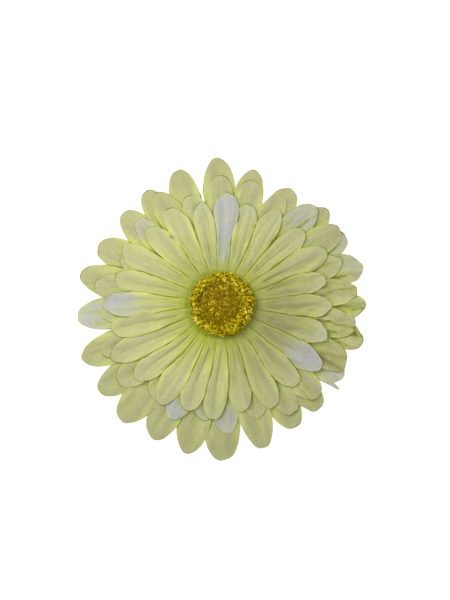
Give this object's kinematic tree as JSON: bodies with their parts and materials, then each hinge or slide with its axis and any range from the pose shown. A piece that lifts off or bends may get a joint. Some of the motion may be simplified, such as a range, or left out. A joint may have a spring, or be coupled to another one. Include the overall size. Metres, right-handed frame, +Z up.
{
  "type": "flower hair clip",
  "caption": "Pale green artificial gerbera on a sprung steel alligator clip that grips a lock of hair.",
  "frame": {"origin": "on the flat underside of the lower jaw, straight under the middle of the flower", "axes": "+Z up along the flower's axis, +X towards the clip's nose, +Y across the clip"},
  "size_m": [0.0991, 0.1045, 0.0247],
  "materials": {
    "petal_cloth": "dyed and heat-pressed polyester cloth, lime near the centre and pale at the tips",
    "pollen_yellow": "golden yellow foam granules, glued on",
    "pollen_brown": "brown-gold fine granules",
    "cup_plastic": "moulded yellow-green plastic",
    "peg_plastic": "natural moulded plastic",
    "calyx_green": "moulded green plastic",
    "hot_glue": "clouded hot-melt adhesive",
    "felt": "pale wool-mix felt",
    "jaw_nickel": "nickel-plated stamped steel",
    "pin_steel": "riveted steel wire",
    "spring_steel": "bright spring wire"
  },
  "bodies": {
    "flower_and_upper_jaw": {"petal_layer_top": "petal_cloth", "petal_layer_middle": "petal_cloth", "petal_layer_bottom": "petal_cloth", "pollen_ring": "pollen_yellow", "pollen_core": "pollen_brown", "centre_cup": "cup_plastic", "centre_peg": "peg_plastic", "peg_retainer": "peg_plastic", "upper_spacer": "peg_plastic", "lower_spacer": "peg_plastic", "calyx": "calyx_green", "glue_pad": "hot_glue", "felt_backing": "felt", "felt_patch": "felt", "upper_jaw": "jaw_nickel", "hinge_pin": "pin_steel", "torsion_spring": "spring_steel"},
    "lower_jaw": {"lower_jaw": "jaw_nickel"}
  },
  "joints": [
    {"name": "jaw_hinge", "type": "hinge", "parent": "flower_and_upper_jaw", "child": "lower_jaw", "pos_m": [-0.016, 0, 0.0034], "axis": [0, 1, 0], "range_deg": [0, 35], "stiffness_Nm_per_rad": 0.07, "springref_deg": -25.78, "deforming": ["torsion_spring"]}
  ]
}
